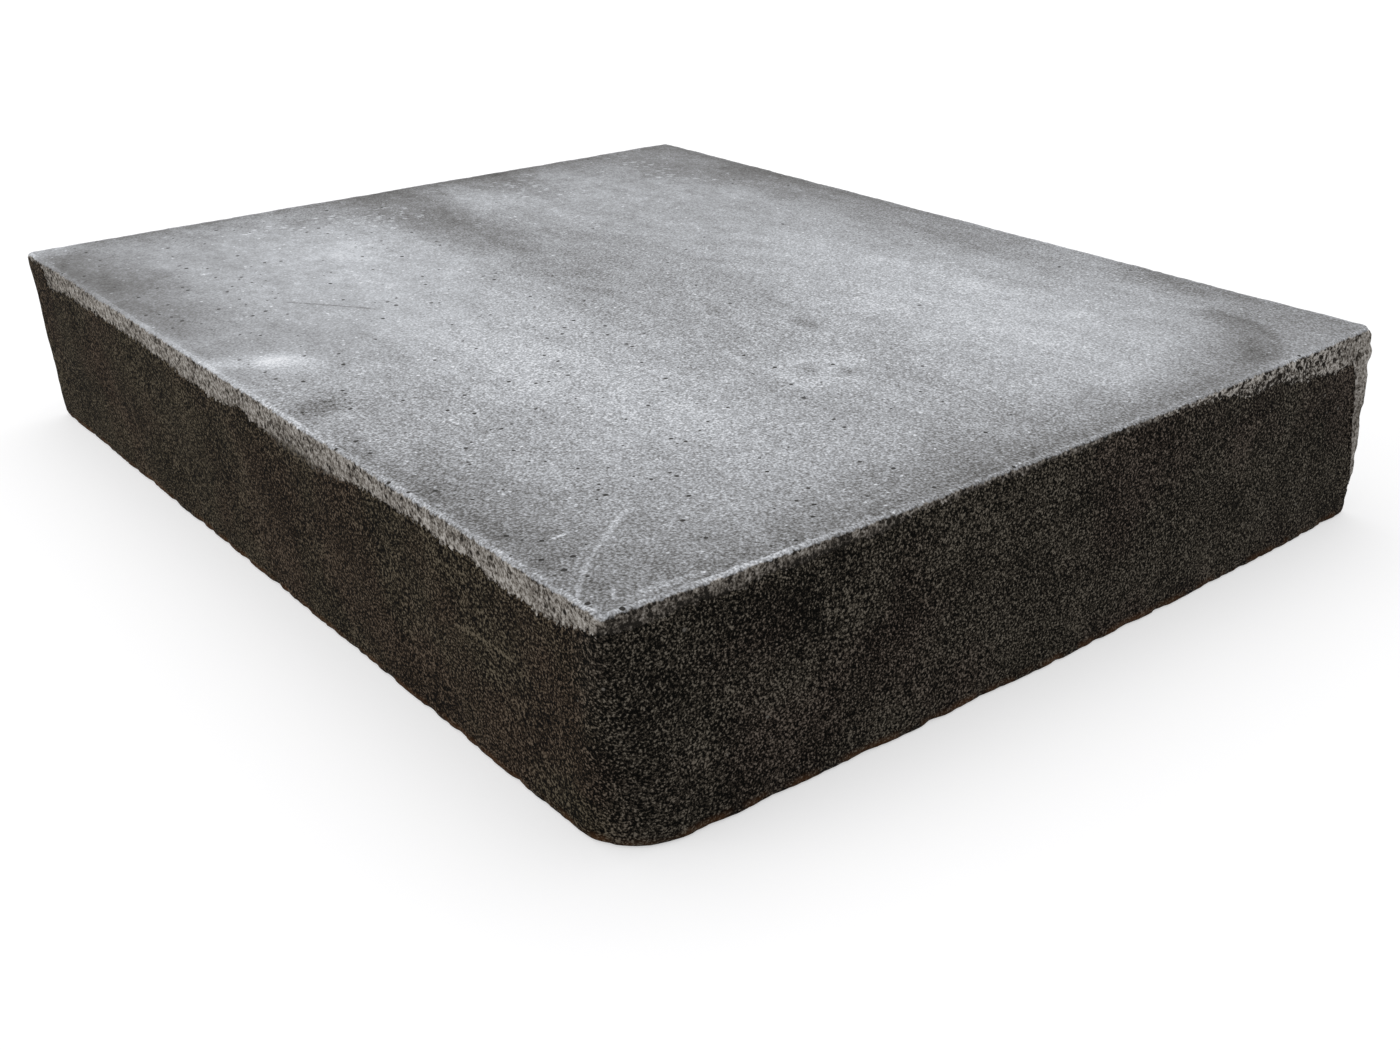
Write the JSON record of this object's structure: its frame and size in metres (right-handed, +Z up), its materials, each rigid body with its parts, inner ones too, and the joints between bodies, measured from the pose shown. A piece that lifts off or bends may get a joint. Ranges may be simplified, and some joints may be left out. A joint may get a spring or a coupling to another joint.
{
  "type": "granite slab",
  "caption": "Heavy flat bench slab of granite with a smooth honed top for tooling, stamping and punching leather, and dark coated rough sides.",
  "frame": {"origin": "middle of the base, on the surface that the slab lies on", "axes": "+X along the long side towards the crowned end, +Y across the slab towards the back, +Z up out of the honed work face"},
  "size_m": [0.3099, 0.2305, 0.0508],
  "materials": {
    "stone": "matte",
    "coat": "matte"
  },
  "bodies": {
    "root": {"stone_slab": "stone", "side_coat": "coat"}
  },
  "joints": []
}
